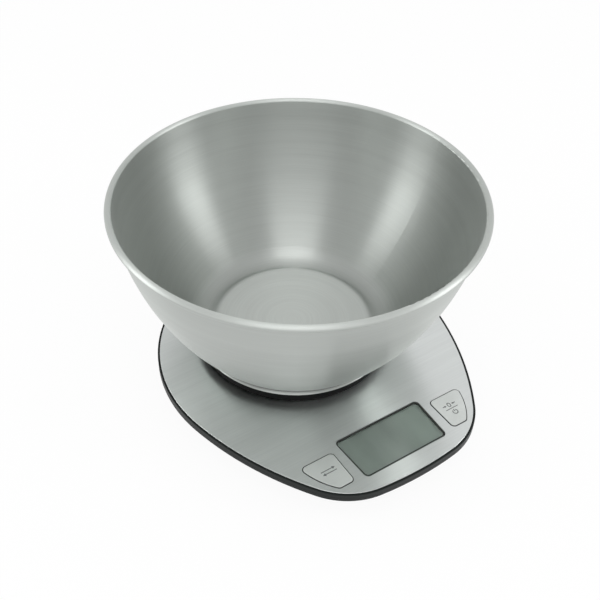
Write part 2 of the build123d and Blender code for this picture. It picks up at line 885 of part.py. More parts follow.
with BuildPart() as battery_wires:
    for index, row_y in enumerate(battery_rows):
        lead_length = battery_lead + index * wire_pitch
        with BuildLine() as battery_route:
            lead = PolarLine((bay_half, load_y + row_y, wire_z), lead_length, 0)
            corner = JernArc(lead @ 1, lead % 1, wire_bend, -90)
            down = Line(corner @ 1, ((corner @ 1).X, load_y + battery_wire_line, wire_z))
            bend = JernArc(down @ 1, down % 1, wire_bend, wire_angle)
            run = Line(bend @ 1, bend @ 1 + bend % 1 * battery_wire_run)
            bend_back = JernArc(run @ 1, run % 1, wire_bend, -wire_angle)
            Line(bend_back @ 1, ((bend_back @ 1).X, wire_end, wire_z))
        with BuildSketch(Plane(battery_route.line @ 0, z_dir=battery_route.line % 0)):
            Circle(wire_radius)
        sweep(path=battery_route.line)
battery_wires.part.label = "battery_wires"
export_step(battery_wires.part, "parts/battery_wires.step")

# ------------------------------------------------------------------ buttons and their switches
plunger_top = board_top + switch_height + plunger_rise
cap_top = deck_top + button_proud
cap_base = deck_base - button_gap - button_flange_thickness

with BuildPart() as switch_bodies:
    with BuildSketch(level(board_top)):
        with Locations((-switch_x, button_y), (switch_x, button_y)):
            Rectangle(switch_side, switch_side)
    extrude(amount=switch_height)
    with BuildSketch(level(board_top + switch_height)):
        with Locations((-switch_x, button_y), (switch_x, button_y)):
            Circle(plunger_radius + plunger_gap)
    extrude(amount=plunger_rise - plunger_length - button_travel - plunger_gap, mode=Mode.SUBTRACT)
switch_bodies.part.label = "switch_bodies"
export_step(switch_bodies.part, "parts/switch_bodies.step")

for side, side_name in ((-1, "left"), (1, "right")):
    with BuildPart() as button:
        with BuildSketch(level(cap_base)):
            add(button_plan(side))
        extrude(amount=cap_top - cap_base)
        fillet(button.faces().sort_by(Axis.Z)[-1].edges(), button_edge)
        with BuildSketch(level(cap_base)):
            add(button_plan(side, button_flange))
        extrude(amount=button_flange_thickness)
        with BuildSketch(level(cap_base)):
            add(button_plan(side, -button_wall))
        extrude(amount=cap_top - button_wall - cap_base, mode=Mode.SUBTRACT)
        with BuildSketch(level(plunger_top)):
            with Locations((side * switch_x, button_y)):
                Circle(button_post_radius)
        extrude(amount=cap_top - button_wall - plunger_top)
    button.part.label = f"button_{side_name}"
    export_step(button.part, f"parts/button_{side_name}.step")

    with BuildPart() as switch_plunger:
        with BuildSketch(level(plunger_top)):
            with Locations((side * switch_x, button_y)):
                Circle(plunger_radius)
        extrude(amount=-plunger_length)
    switch_plunger.part.label = f"switch_plunger_{side_name}"
    export_step(switch_plunger.part, f"parts/switch_plunger_{side_name}.step")

# ------------------------------------------------------------------ batteries
with BuildPart() as batteries:
    for row, row_y in zip((-1, 1), battery_rows):
        with BuildSketch(Plane((0, load_y + row_y, battery_axis), z_dir=(1, 0, 0))):
            Circle(cell_radius)
        extrude(amount=battery_length / 2, both=True)
        with BuildSketch(Plane((0, load_y + row_y, battery_axis), z_dir=(row, 0, 0))):
            Circle(nub_radius)
        extrude(amount=battery_length / 2 + nub_length)
batteries.part.label = "batteries"
export_step(batteries.part, "parts/batteries.step")

# Each contact is one nickel strip: a plate on the bay's end wall, folded back over itself
# into a leaf that presses on the battery.
with BuildPart() as battery_contacts:
    for end in (-1, 1):
        plate_x = end * (bay_half - contact_sheet / 2)
        for row, row_y in zip((-1, 1), battery_rows):
            tip_x = end * (battery_length / 2 + contact_sheet / 2)
            if row == end:
                tip_x = end * (battery_length / 2 + nub_length + contact_sheet / 2)
            with BuildSketch(upright(-row_y - contact_width / 2)):
                with BuildLine():
                    Polyline(
                        (plate_x, battery_axis - contact_width / 2),
                        (plate_x, battery_axis + contact_width / 2),
                        (tip_x, battery_axis + contact_fold),
                        (tip_x, battery_axis - contact_fold),
                    )
                trace(line_width=contact_sheet)
            extrude(amount=contact_width)
battery_contacts.part.label = "battery_contacts"
export_step(battery_contacts.part, "parts/battery_contacts.step")
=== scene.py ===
from math import cos, radians, sin

import bmesh
import bpy
from bpy.props import FloatProperty, FloatVectorProperty, PointerProperty
from bpy.types import Operator, Panel, PropertyGroup
from mathutils import Matrix, Vector


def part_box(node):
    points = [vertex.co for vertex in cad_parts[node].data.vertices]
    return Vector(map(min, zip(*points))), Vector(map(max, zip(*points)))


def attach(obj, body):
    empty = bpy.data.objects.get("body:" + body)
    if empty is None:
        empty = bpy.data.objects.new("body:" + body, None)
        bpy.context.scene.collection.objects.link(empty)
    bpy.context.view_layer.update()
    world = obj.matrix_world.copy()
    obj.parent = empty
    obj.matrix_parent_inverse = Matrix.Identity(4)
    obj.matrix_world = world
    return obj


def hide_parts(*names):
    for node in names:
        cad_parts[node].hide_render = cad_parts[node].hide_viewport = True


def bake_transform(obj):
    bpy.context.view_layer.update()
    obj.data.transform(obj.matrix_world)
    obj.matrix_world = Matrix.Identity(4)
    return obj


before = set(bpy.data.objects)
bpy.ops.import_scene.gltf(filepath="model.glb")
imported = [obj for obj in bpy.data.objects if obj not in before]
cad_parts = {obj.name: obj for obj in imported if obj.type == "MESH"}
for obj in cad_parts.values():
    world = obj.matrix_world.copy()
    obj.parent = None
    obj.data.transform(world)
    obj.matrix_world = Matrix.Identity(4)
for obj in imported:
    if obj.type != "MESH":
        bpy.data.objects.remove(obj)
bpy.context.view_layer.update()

bl_info = {
    "name": "Kitchen Scale Looks",
    "version": (1, 0, 0),
    "blender": (4, 5, 0),
    "location": "View3D > Sidebar > Kitchen Scale",
    "description": "Dresses a digital kitchen scale and its steel bowl, and sets up the studio",
    "category": "Object",
}

MM = 0.001
ROUGHNESS_VARIATION = 0.12

# First input, second input and output of a Mix node, by its kind of value
MIX_SOCKETS = {"FLOAT": (2, 3, 0), "VECTOR": (4, 5, 1), "RGBA": (6, 7, 2)}

# Finishes inside the housing: name, linear colour, roughness, stretch and the nodes
WORKS_METALS = (
    (
        "zinc_steel",
        (0.58, 0.59, 0.60),
        0.35,
        0.2,
        (
            "platter_carrier",
            "carrier_screws",
            "cell_plate",
            "cell_screws",
            "load_screws",
            "housing_screws",
            "board_screws",
        ),
    ),
    ("cell_aluminium", (0.75, 0.76, 0.77), 0.42, 0.5, ("load_cell_beam", "load_spacer")),
    ("contact_nickel", (0.74, 0.72, 0.66), 0.18, 0.1, ("battery_contacts",)),
)
# The same for the plastics, without a stretch
WORKS_PLASTICS = (
    ("gauge_film", (0.82, 0.81, 0.75), 0.5, ("strain_gauges",)),
    ("board_green", (0.02, 0.16, 0.06), 0.3, ("circuit_board",)),
    ("blob_epoxy", (0.012, 0.012, 0.012), 0.15, ("controller_blob",)),
    (
        "switch_plastic",
        (0.03, 0.03, 0.03),
        0.45,
        ("switch_bodies", "switch_plunger_left", "switch_plunger_right"),
    ),
    ("battery_jacket", (0.05, 0.12, 0.28), 0.25, ("batteries",)),
    ("wire_red", (0.45, 0.03, 0.02), 0.4, ("load_cell_wires", "battery_wires")),
)

# The load cell's bending stretch is cut into this many bands
FLEX_STEPS = 10

# The camera, with its place measured from the middle of the rim in rim radii
CAMERA_PLACE = (-2.0867, -3.0241, 2.6421)
CAMERA_RIGHT = (0.8629, -0.5048, -0.0245)
CAMERA_AHEAD = (0.3722, 0.6675, -0.6450)
CAMERA_SHIFT = (0.1147, -0.0657)
SENSOR_WIDTH = 36

# Softboxes: bearing, climb in degrees, distance and size in metres
TOP_LAMP = (-35, 78, 1.2, (0.5, 0.45))
SIDE_LAMPS = ((-120, 25, 1.1, (0.42, 0.32)), (50, 25, 1.1, (0.42, 0.32)))
FRONT_LAMP = (-35, 45, 1.3, (0.9, 0.5))
FLOOR_SIZE = 6


# ---------------------------------------------------------------- settings
def colour(name, description, default):
    """A colour property, written as linear red, green and blue."""
    return FloatVectorProperty(
        name=name, description=description, subtype="COLOR", size=3, min=0, max=1, default=default
    )


def share(name, description, default):
    """A property between nought and one."""
    return FloatProperty(
        name=name, description=description, subtype="FACTOR", min=0, max=1, default=default
    )


def length(name, description, default):
    """A length in metres."""
    return FloatProperty(name=name, description=description, unit="LENGTH", default=default)


def number(name, description, default, unit="NONE"):
    """A plain number, such as a multiplier or a lamp's power."""
    return FloatProperty(name=name, description=description, unit=unit, default=default)


class SteelSettings(PropertyGroup):
    bowl_colour: colour("Bowl", "Colour of the bowl's stainless steel", (0.508, 0.531, 0.511))
    bowl_roughness: share("Bowl roughness", "Blur of the bowl's brushed surface", 0.38)
    bowl_stretch: share("Bowl stretch", "Stretch of reflections across the brushing", 0.85)
    bowl_contrast: share("Bowl contrast", "Difference in tone between brush lines", 0.34)
    bowl_relief: share("Bowl relief", "Depth of the bowl's brush lines", 0.22)
    floor_edge: length("Floor edge", "Radius of the bowl's flat floor", 50 * MM)
    floor_lift: number("Floor lift", "Lightness of the floor's satin finish", 1.16)
    floor_blur: share("Floor blur", "Extra blur of the floor's finish", 0.12)
    rim_band: length("Rim band", "Height of the rolled edge that is worn", 1.9 * MM)
    rim_fade: length("Rim fade", "Height over which the wear begins", 1.0 * MM)
    # Painted highlight: how much lighter the rim's colour is made
    rim_painted_highlight: number("Rim lift", "Lightness of the worn rim", 1.36)
    rim_dulling: number("Rim dulling", "Roughness of the rim, next to the wall's", 1.35)
    # Painted shade in the crease above the foot ring and on the ring's upper part, set by the next
    # three
    crease_shade_width: length("Seam width", "Width of the dark line above the foot ring", 1.1 * MM)
    crease_shade_share: share("Seam share", "Part of the foot ring's height that is soiled", 0.8)
    crease_shade_darkness: share("Seam darkness", "Darkness of the line at the foot ring", 0.88)
    cover_colour: colour("Cover", "Colour of the cover plate's steel", (0.80, 0.83, 0.82))
    cover_roughness: share("Cover roughness", "Blur of the cover plate", 0.31)
    cover_stretch: share("Cover stretch", "Stretch of reflections across the brushing", 0.75)
    grain_pitch: length("Grain pitch", "Distance between brush lines", 0.55 * MM)


class PlasticSettings(PropertyGroup):
    housing_colour: colour("Housing", "Colour of the black housings", (0.008, 0.011, 0.010))
    housing_roughness: share("Housing roughness", "Blur of the moulded texture", 0.42)
    housing_gloss: share("Housing gloss", "Strength of the housings' reflections", 0.2)
    platter_colour: colour("Platter", "Colour of the matt black platter", (0.004, 0.004, 0.004))
    platter_roughness: share("Platter roughness", "Blur of the platter", 0.6)
    platter_gloss: share("Platter gloss", "Strength of the platter's reflections", 0.1)
    rubber_colour: colour("Rubber", "Colour of the feet and grip ring", (0.022, 0.022, 0.022))
    rubber_roughness: share("Rubber roughness", "Blur of the rubber", 0.75)
    button_colour: colour("Buttons", "Colour of the silver button caps", (0.84, 0.87, 0.85))
    button_roughness: share("Button roughness", "Blur of the silver lacquer", 0.46)
    button_stretch: share("Button stretch", "Stretch of the lacquer's reflections", 0.2)
    # Below this the cap is black, which also paints the shade line round its edge
    lacquer_edge: length("Lacquer edge", "How far the lacquer runs down the edge", 0.015 * MM)
    lacquer_fade: length("Lacquer fade", "Height over which the lacquer ends", 0.05 * MM)
    mark_colour: colour("Marks", "Colour of the printed symbols", (0.10, 0.11, 0.11))
    mark_roughness: share("Mark roughness", "Blur of the printed symbols", 0.5)
    mark_line: length("Mark line", "Width of the printed lines", 0.5 * MM)
    mark_lift: length("Mark lift", "Thickness of the printed ink", 0.02 * MM)
    border_width: length("Border width", "Width of the line round the window", 0.8 * MM)
    window_colour: colour("Window", "Tint of the display window", (0.86, 0.90, 0.88))
    window_roughness: share("Window roughness", "Blur of the display window", 0.06)
    lcd_colour: colour("Display", "Colour of the liquid crystal panel", (0.44, 0.50, 0.46))
    lcd_roughness: share("Display roughness", "Blur of the liquid crystal panel", 0.28)


class StageSettings(PropertyGroup):
    floor_colour: colour("Floor", "Colour of the floor", (0.92, 0.92, 0.92))
    floor_roughness: share("Floor roughness", "Blur of the floor", 0.9)
    floor_glow: share("Floor glow", "Share of plain white in the floor as it is seen", 0.93)
    lens: number("Lens", "Focal length on a 36 mm frame", 51.93, "CAMERA")
    top_power: number("Top lamp", "Power of the overhead softbox", 1.3, "POWER")
    side_power: number("Side lamps", "Power of each side softbox", 2.3, "POWER")
    front_power: number("Front lamp", "Power of the front softbox", 1.9, "POWER")
    world_level: number("World", "Level of the room's light", 0.75)


# ---------------------------------------------------------------- node helpers
def link(tree, source, target):
    """Links an output to an input."""
    tree.links.new(source, target)


def put(tree, value, socket):
    """Links an output to an input, or writes a plain value into it."""
    if isinstance(value, bpy.types.NodeSocket):
        link(tree, value, socket)
    else:
        socket.default_value = value


def add_node(tree, kind, **settings):
    """Adds a node; each keyword is one of its settings."""
    made = tree.nodes.new(kind)
    for key, value in settings.items():
        setattr(made, key, value)
    return made


def maths(tree, operation, first, second=None):
    """One Math node on sockets or numbers; returns its output."""
    made = add_node(tree, "ShaderNodeMath", operation=operation)
    put(tree, first, made.inputs[0])
    if second is not None:
        put(tree, second, made.inputs[1])
    return made.outputs[0]


def scaled(tree, vector, factor):
    """A colour or vector times a factor, each a socket or a value."""
    made = add_node(tree, "ShaderNodeVectorMath", operation="SCALE")
    put(tree, vector, made.inputs[0])
    put(tree, factor, made.inputs["Scale"])
    return made.outputs[0]


def between(tree, kind, factor, first, second):
    """A Mix node that goes from the first to the second value; returns its output."""
    first_place, second_place, result = MIX_SOCKETS[kind]
    made = add_node(tree, "ShaderNodeMix", data_type=kind)
    link(tree, factor, made.inputs["Factor"])
    put(tree, first, made.inputs[first_place])
    put(tree, second, made.inputs[second_place])
    return made.outputs[result]


def ramp(tree, value, start, end, low=0, high=1, interpolation="SMOOTHSTEP"):
    """Goes from low at the start to high at the end, and stays level outside."""
    made = add_node(tree, "ShaderNodeMapRange", interpolation_type=interpolation)
    link(tree, value, made.inputs["Value"])
    made.inputs["From Min"].default_value = start
    made.inputs["From Max"].default_value = end
    made.inputs["To Min"].default_value = low
    made.inputs["To Max"].default_value = high
    return made.outputs[0]


def noise(tree, vector, scale, detail=2, roughness=0.5):
    """A noise value of about a half, between nought and one."""
    made = add_node(tree, "ShaderNodeTexNoise")
    link(tree, vector, made.inputs["Vector"])
    put(tree, scale, made.inputs["Scale"])
    made.inputs["Detail"].default_value = detail
    made.inputs["Roughness"].default_value = roughness
    return made.outputs[0]


def place_on(tree):
    """The point's place on the object, in metres."""
    return add_node(tree, "ShaderNodeTexCoord").outputs["Object"]


def axes(tree, vector):
    """The three parts of a vector, by the names X, Y and Z."""
    made = add_node(tree, "ShaderNodeSeparateXYZ")
    link(tree, vector, made.inputs[0])
    return made.outputs


def joined(tree, x, y, z):
    """A vector made of three sockets."""
    made = add_node(tree, "ShaderNodeCombineXYZ")
    for socket, value in zip(made.inputs, (x, y, z)):
        link(tree, value, socket)
    return made.outputs[0]


def from_centre(tree, centre):
    """The point's place as seen from a centre."""
    made = add_node(tree, "ShaderNodeVectorMath", operation="SUBTRACT")
    link(tree, place_on(tree), made.inputs[0])
    made.inputs[1].default_value = centre
    return made.outputs[0]


def axis_distance(tree, vector):
    """How far a vector reaches from the upright axis."""
    flat = add_node(tree, "ShaderNodeVectorMath", operation="MULTIPLY")
    link(tree, vector, flat.inputs[0])
    flat.inputs[1].default_value = (1, 1, 0)
    made = add_node(tree, "ShaderNodeVectorMath", operation="LENGTH")
    link(tree, flat.outputs[0], made.inputs[0])
    return made.outputs["Value"]


def new_group(name, inputs, outputs):
    """An empty shader node group with named sockets."""
    tree = bpy.data.node_groups.new(name, "ShaderNodeTree")
    for label, kind, default in inputs:
        socket = tree.interface.new_socket(label, in_out="INPUT", socket_type=kind)
        if default is not None:
            socket.default_value = default
    for label, kind in outputs:
        tree.interface.new_socket(label, in_out="OUTPUT", socket_type=kind)
    return tree, tree.nodes.new("NodeGroupInput"), tree.nodes.new("NodeGroupOutput")


def finish_group(tree, result, tint, rough, relief, height, depth):
    """Feeds a group's colour and roughness, and a normal bumped by the height."""
    bump = add_node(tree, "ShaderNodeBump")
    bump.inputs["Distance"].default_value = depth
    link(tree, relief, bump.inputs["Strength"])
    link(tree, height, bump.inputs["Height"])
    link(tree, tint, result.inputs["Colour"])
    link(tree, rough, result.inputs["Roughness"])
    link(tree, bump.outputs[0], result.inputs["Normal"])
    return tree


SURFACE_OUTPUTS = [
    ("Colour", "NodeSocketColor"),
    ("Roughness", "NodeSocketFloat"),
    ("Normal", "NodeSocketVector"),
]


def brushed_grain():
    """Node group: fine lines that run across the third axis of the given coordinates."""
    name = "Brushed Grain"
    if name in bpy.data.node_groups:
        return bpy.data.node_groups[name]
    tree, source, result = new_group(
        name,
        [
            ("Vector", "NodeSocketVector", None),
            ("Colour", "NodeSocketColor", (0.6, 0.6, 0.6, 1)),
            ("Contrast", "NodeSocketFloat", 0.1),
            ("Roughness", "NodeSocketFloat", 0.3),
            ("Variation", "NodeSocketFloat", 0.08),
            ("Relief", "NodeSocketFloat", 0.1),
        ],
        SURFACE_OUTPUTS,
    )
    fine_share, broad_share, broad_scale = 0.6, 0.4, 0.07
    lines = source.outputs["Vector"]
    fine = noise(tree, lines, 1, detail=3, roughness=0.65)
    broad = noise(tree, scaled(tree, lines, broad_scale), 1)
    grain = maths(
        tree,
        "ADD",
        maths(tree, "MULTIPLY", fine, fine_share),
        maths(tree, "MULTIPLY", broad, broad_share),
    )
    centred = maths(tree, "SUBTRACT", grain, 0.5)
    tone = maths(tree, "ADD", maths(tree, "MULTIPLY", centred, source.outputs["Contrast"]), 1)
    tint = scaled(tree, source.outputs["Colour"], tone)
    spread = maths(tree, "MULTIPLY", centred, source.outputs["Variation"])
    rough = maths(tree, "ADD", spread, source.outputs["Roughness"])
    return finish_group(
        tree, result, tint, rough, source.outputs["Relief"], grain, depth=0.02 * MM
    )


def moulded_texture():
    """Node group: the fine spark-eroded texture of a moulded surface, with faint wear."""
    name = "Moulded Texture"
    if name in bpy.data.node_groups:
        return bpy.data.node_groups[name]
    tree, source, result = new_group(
        name,
        [
            ("Vector", "NodeSocketVector", None),
            ("Colour", "NodeSocketColor", (0.02, 0.02, 0.02, 1)),
            ("Roughness", "NodeSocketFloat", 0.4),
            ("Pitch", "NodeSocketFloat", 2500.0),
            ("Relief", "NodeSocketFloat", 0.25),
        ],
        SURFACE_OUTPUTS,
    )
    cloud_scale, cloud_strength, darkest = 35, 0.35, 0.82
    rough_variation = 0.25
    grain = noise(tree, source.outputs["Vector"], source.outputs["Pitch"])
    cloud = noise(tree, source.outputs["Vector"], cloud_scale)
    tone = maths(tree, "ADD", maths(tree, "MULTIPLY", cloud, cloud_strength), darkest)
    tint = scaled(tree, source.outputs["Colour"], tone)
    centred = maths(tree, "SUBTRACT", grain, 0.5)
    spread = maths(tree, "MULTIPLY", centred, rough_variation)
    rough = maths(tree, "ADD", spread, source.outputs["Roughness"])
    return finish_group(
        tree, result, tint, rough, source.outputs["Relief"], grain, depth=0.03 * MM
    )


# ---------------------------------------------------------------- materials
def new_material(name):
    """A material with a Principled shader; returns material, tree and shader."""
    made = bpy.data.materials.new(name)
    made.use_nodes = True
    return made, made.node_tree, made.node_tree.nodes["Principled BSDF"]


def feed(tree, group, shader):
    """Links a group's colour, roughness and normal to the shader."""
    link(tree, group.outputs["Colour"], shader.inputs["Base Color"])
    link(tree, group.outputs["Roughness"], shader.inputs["Roughness"])
    link(tree, group.outputs["Normal"], shader.inputs["Normal"])


def fed_by(shader, name):
    """The output that feeds one of the shader's inputs so far."""
    return shader.inputs[name].links[0].from_socket


def lighten(tree, shader, mask, lift):
    """Multiplies the shader's colour by lift where the mask is one."""
    factor = maths(tree, "ADD", maths(tree, "MULTIPLY", mask, lift - 1), 1)
    tint = scaled(tree, fed_by(shader, "Base Color"), factor)
    link(tree, tint, shader.inputs["Base Color"])


def ring_coordinates(tree, centre, pitch):
    """Coordinates whose third axis climbs the bowl's section, for brushing round the bowl."""
    along_scale = 22
    place = from_centre(tree, centre)
    parts = axes(tree, place)
    climb = maths(tree, "ADD", axis_distance(tree, place), parts["Z"])
    return joined(
        tree,
        maths(tree, "MULTIPLY", parts["X"], along_scale),
        maths(tree, "MULTIPLY", parts["Y"], along_scale),
        maths(tree, "MULTIPLY", climb, 1 / pitch),
    )


def straight_coordinates(tree, pitch):
    """Coordinates whose third axis runs from front to back, for brushing from side to side."""
    along_scale = 30
    parts = axes(tree, place_on(tree))
    return joined(
        tree,
        maths(tree, "MULTIPLY", parts["X"], along_scale),
        maths(tree, "MULTIPLY", parts["Z"], along_scale),
        maths(tree, "MULTIPLY", parts["Y"], 1 / pitch),
    )


def satin_floor(tree, shader, centre, steel):
    """Makes the bowl's floor lighter and more blurred, with a soft edge; returns the mask."""
    fade_start, fade_end = 1.12, 0.94
    radius = axis_distance(tree, from_centre(tree, centre))
    inside = ramp(tree, radius, steel.floor_edge * fade_start, steel.floor_edge * fade_end)
    lighten(tree, shader, inside, steel.floor_lift)
    extra = maths(tree, "MULTIPLY", inside, steel.floor_blur)
    blurred = maths(tree, "ADD", fed_by(shader, "Roughness"), extra)
    link(tree, blurred, shader.inputs["Roughness"])
    return inside


def worn_rim_painted_highlight(tree, shader, top, steel):
    """Makes the rolled edge duller, where hands and washing wear it, and lighter in colour: a
    painted highlight on the rim.
    """
    foot = top - steel.rim_band
    height = axes(tree, place_on(tree))["Z"]
    worn_and_highlit = ramp(tree, height, foot, foot + steel.rim_fade)
    # Painted highlight: the rim's colour is lifted; only the added roughness below is wear
    lighten(tree, shader, worn_and_highlit, steel.rim_painted_highlight)
    duller = maths(tree, "ADD", maths(tree, "MULTIPLY", worn_and_highlit, steel.rim_dulling - 1), 1)
    rough = maths(tree, "MULTIPLY", fed_by(shader, "Roughness"), duller)
    link(tree, rough, shader.inputs["Roughness"])


def painted_crease_shade(tree, shader, height, width, dark, highest_facing=1):
    """Paints shade on the sheet near a height, as in the crease at the foot ring; only where it
    faces low enough.
    """
    place = add_node(tree, "ShaderNodeTexCoord")
    offset = maths(tree, "SUBTRACT", axes(tree, place.outputs["Object"])["Z"], height)
    band = ramp(tree, maths(tree, "ABSOLUTE", offset), width, 0)
    facing = axes(tree, place.outputs["Normal"])["Z"]
    outer = maths(tree, "LESS_THAN", facing, highest_facing)
    mask = maths(tree, "MULTIPLY", maths(tree, "MULTIPLY", band, outer), dark)
    remaining = maths(tree, "SUBTRACT", 1, mask)
    tint = scaled(tree, fed_by(shader, "Base Color"), remaining)
    link(tree, tint, shader.inputs["Base Color"])


def bare_sides_painted_edge_shade(tree, shader, height, depth, tint):
    """Leaves the moulded plastic bare and black below a height, the lacquer covering only the top;
    the black edge also paints the shade line round the cap.
    """
    level = axes(tree, place_on(tree))["Z"]
    top = ramp(tree, level, height - depth, height, interpolation="LINEAR")
    both = between(tree, "RGBA", top, (*tint, 1), fed_by(shader, "Base Color"))
    link(tree, both, shader.inputs["Base Color"])
    link(tree, top, shader.inputs["Metallic"])


def brushed_steel(name, tint, roughness, stretch, coordinates, contrast=0.26, relief=0.16):
    """Brushed metal; coordinates is a function that gives the brush direction."""
    made, tree, shader = new_material(name)
    group = add_node(tree, "ShaderNodeGroup", node_tree=brushed_grain())
    link(tree, coordinates(tree), group.inputs["Vector"])
    group.inputs["Colour"].default_value = (*tint, 1)
    group.inputs["Contrast"].default_value = contrast
    group.inputs["Roughness"].default_value = roughness
    group.inputs["Variation"].default_value = ROUGHNESS_VARIATION
    group.inputs["Relief"].default_value = relief
    feed(tree, group, shader)
    shader.inputs["Metallic"].default_value = 1
    shader.inputs["Anisotropic"].default_value = stretch
    return made, tree, shader


def moulded_plastic(name, tint, roughness, pitch=2500, relief=0.25):
    """Moulded plastic or rubber with a fine even texture; returns material and shader."""
    made, tree, shader = new_material(name)
    group = add_node(tree, "ShaderNodeGroup", node_tree=moulded_texture())
    link(tree, place_on(tree), group.inputs["Vector"])
    group.inputs["Colour"].default_value = (*tint, 1)
    group.inputs["Roughness"].default_value = roughness
    group.inputs["Pitch"].default_value = pitch
    group.inputs["Relief"].default_value = relief
    feed(tree, group, shader)
    return made, shader


def spun_tangent(tree, shader):
    """Stretches reflections up the wall, across lines that run round; returns the tangent."""
    quarter_turn = 0.25
    shader.inputs["Anisotropic Rotation"].default_value = quarter_turn
    return add_node(tree, "ShaderNodeTangent", direction_type="RADIAL", axis="Z").outputs[0]


def dress(material, *nodes):
    """Gives CAD nodes one material."""
    for node in nodes:
        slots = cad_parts[node].data.materials
        slots.clear()
        slots.append(material)


def centre_of(node):
    """Middle of a node's box."""
    low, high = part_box(node)
    return (Vector(low) + Vector(high)) / 2


# ---------------------------------------------------------------- finishes
class DressBowl(Operator):
    """Brushes the bowl and its foot ring round the bowl's own axis"""

    bl_idname = "kitchen_scale.dress_bowl"
    bl_label = "Dress Bowl"

    def execute(self, context):
        steel = context.scene.scale_steel
        axis = centre_of("bowl")
        axis.z = 0
        ring_low, ring_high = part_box("bowl_foot_ring")
        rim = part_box("bowl")[1][2]

        def round_bowl(tree):
            return ring_coordinates(tree, axis, steel.grain_pitch)

        bowl, tree, shader = brushed_steel(
            "bowl_steel",
            steel.bowl_colour,
            steel.bowl_roughness,
            steel.bowl_stretch,
            round_bowl,
            steel.bowl_contrast,
            steel.bowl_relief,
        )
        inside = satin_floor(tree, shader, axis, steel)
        worn_rim_painted_highlight(tree, shader, rim, steel)
        outward = 0
        # Painted shade in the crease where the belly meets the foot ring, on the outside only
        painted_crease_shade(tree, shader, ring_high[2], steel.crease_shade_width, steel.crease_shade_darkness, outward)
        floor_brushing = (0.82, -0.57, 0)
        brushing = between(tree, "VECTOR", inside, spun_tangent(tree, shader), floor_brushing)
        link(tree, brushing, shader.inputs["Tangent"])
        dress(bowl, "bowl")

        ring, tree, shader = brushed_steel(
            "ring_steel", steel.bowl_colour, steel.bowl_roughness, steel.bowl_stretch, round_bowl
        )
        link(tree, spun_tangent(tree, shader), shader.inputs["Tangent"])
        # Painted shade on the foot ring's upper part, under the belly
        shaded_height = (ring_high[2] - ring_low[2]) * steel.crease_shade_share
        painted_crease_shade(tree, shader, ring_high[2], shaded_height, steel.crease_shade_darkness)
        dress(ring, "bowl_foot_ring")
        return {"FINISHED"}


class DressCover(Operator):
    """Brushes the cover plate from side to side and lacquers the button caps"""

    bl_idname = "kitchen_scale.dress_cover"
    bl_label = "Dress Cover"

    def execute(self, context):
        steel = context.scene.scale_steel
        plastic = context.scene.scale_plastic

        def across(tree):
            return straight_coordinates(tree, steel.grain_pitch)

        cover, tree, shader = brushed_steel(
            "cover_steel", steel.cover_colour, steel.cover_roughness, steel.cover_stretch, across
        )
        backward = add_node(tree, "ShaderNodeCombineXYZ")
        backward.inputs["Y"].default_value = 1
        link(tree, backward.outputs[0], shader.inputs["Tangent"])
        dress(cover, "cover_plate")

        caps, tree, shader = brushed_steel(
            "button_silver",
            plastic.button_colour,
            plastic.button_roughness,
            plastic.button_stretch,
            across,
            contrast=0.06,
            relief=0.04,
        )
        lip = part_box("button_left")[1][2] - plastic.lacquer_edge
        # Painted shade: the caps' black edges stand in for the dark line round each button
        bare_sides_painted_edge_shade(tree, shader, lip, plastic.lacquer_fade, plastic.housing_colour)
        dress(caps, "button_left", "button_right")
        return {"FINISHED"}


class DressHousings(Operator):
    """Gives the black mouldings and the rubber pieces their texture"""

    bl_idname = "kitchen_scale.dress_housings"
    bl_label = "Dress Housings"

    def execute(self, context):
        plastic = context.scene.scale_plastic
        housing, shader = moulded_plastic(
            "black_abs", plastic.housing_colour, plastic.housing_roughness
        )
        shader.inputs["Specular IOR Level"].default_value = plastic.housing_gloss
        dress(housing, "upper_housing", "lower_housing", "battery_door", "lcd_holder")

        matt, shader = moulded_plastic(
            "platter_black", plastic.platter_colour, plastic.platter_roughness
        )
        shader.inputs["Specular IOR Level"].default_value = plastic.platter_gloss
        dress(matt, "platter")

        rubber, shader = moulded_plastic(
            "black_rubber",
            plastic.rubber_colour,
            plastic.rubber_roughness,
            pitch=1400,
            relief=0.4,
        )
        dress(rubber, "rubber_feet", "grip_ring", "elastomer_strips")
        return {"FINISHED"}


